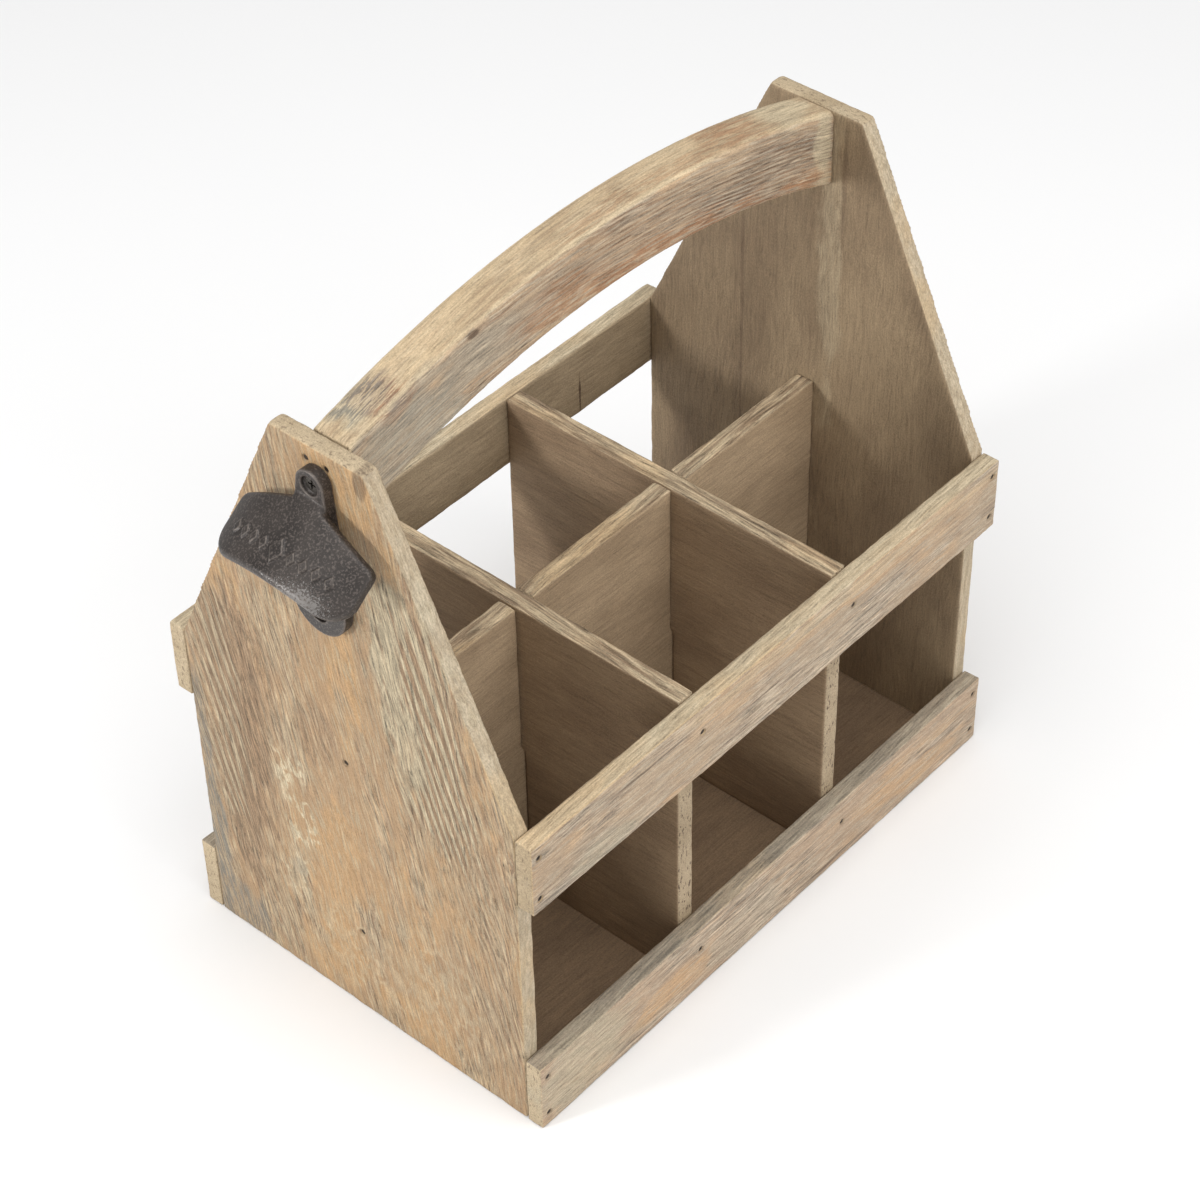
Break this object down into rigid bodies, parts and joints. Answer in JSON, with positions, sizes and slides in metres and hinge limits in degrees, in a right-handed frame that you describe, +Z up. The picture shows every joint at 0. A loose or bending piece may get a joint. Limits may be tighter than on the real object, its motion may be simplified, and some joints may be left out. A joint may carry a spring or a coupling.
{
  "type": "bottle caddy",
  "caption": "Wooden carrier for bottles, with open slatted sides, crossed dividers, an arched handle between pointed end boards, and a cast iron wall opener.",
  "frame": {"origin": "middle of the underside of the caddy, on the surface that it stands on", "axes": "X along the handle, with the opener's end at -X; -Y the long side seen in the picture; +Z up"},
  "size_m": [0.2982, 0.1786, 0.2992],
  "materials": {
    "panel_wood": "weathered, limed streaks, open pores",
    "rail_wood": "weathered, grey limed grain",
    "divider_wood": "smooth sawn, greyish brown",
    "handle_wood": "weathered, limed streaks",
    "base_wood": "smooth, greyish brown",
    "opener_iron": "dark charcoal brown, grainy sand-cast, waxed",
    "screw_steel": "dulled",
    "brad_steel": "darkened"
  },
  "bodies": {
    "root": {"end_panel_opener_side": "panel_wood", "end_panel_far_side": "panel_wood", "front_upper_rail": "rail_wood", "front_lower_rail": "rail_wood", "rear_upper_rail": "rail_wood", "rear_lower_rail": "rail_wood", "base_board": "base_wood", "long_divider": "divider_wood", "cross_divider_near": "divider_wood", "cross_divider_far": "divider_wood", "carry_handle": "handle_wood", "bottle_opener": "opener_iron", "opener_upper_screw": "screw_steel", "opener_lower_screw": "screw_steel", "front_upper_rail_brads": "brad_steel", "front_lower_rail_brads": "brad_steel", "rear_upper_rail_brads": "brad_steel", "rear_lower_rail_brads": "brad_steel", "opener_side_panel_brads": "brad_steel", "far_side_panel_brads": "brad_steel", "base_brads": "brad_steel"}
  },
  "joints": []
}
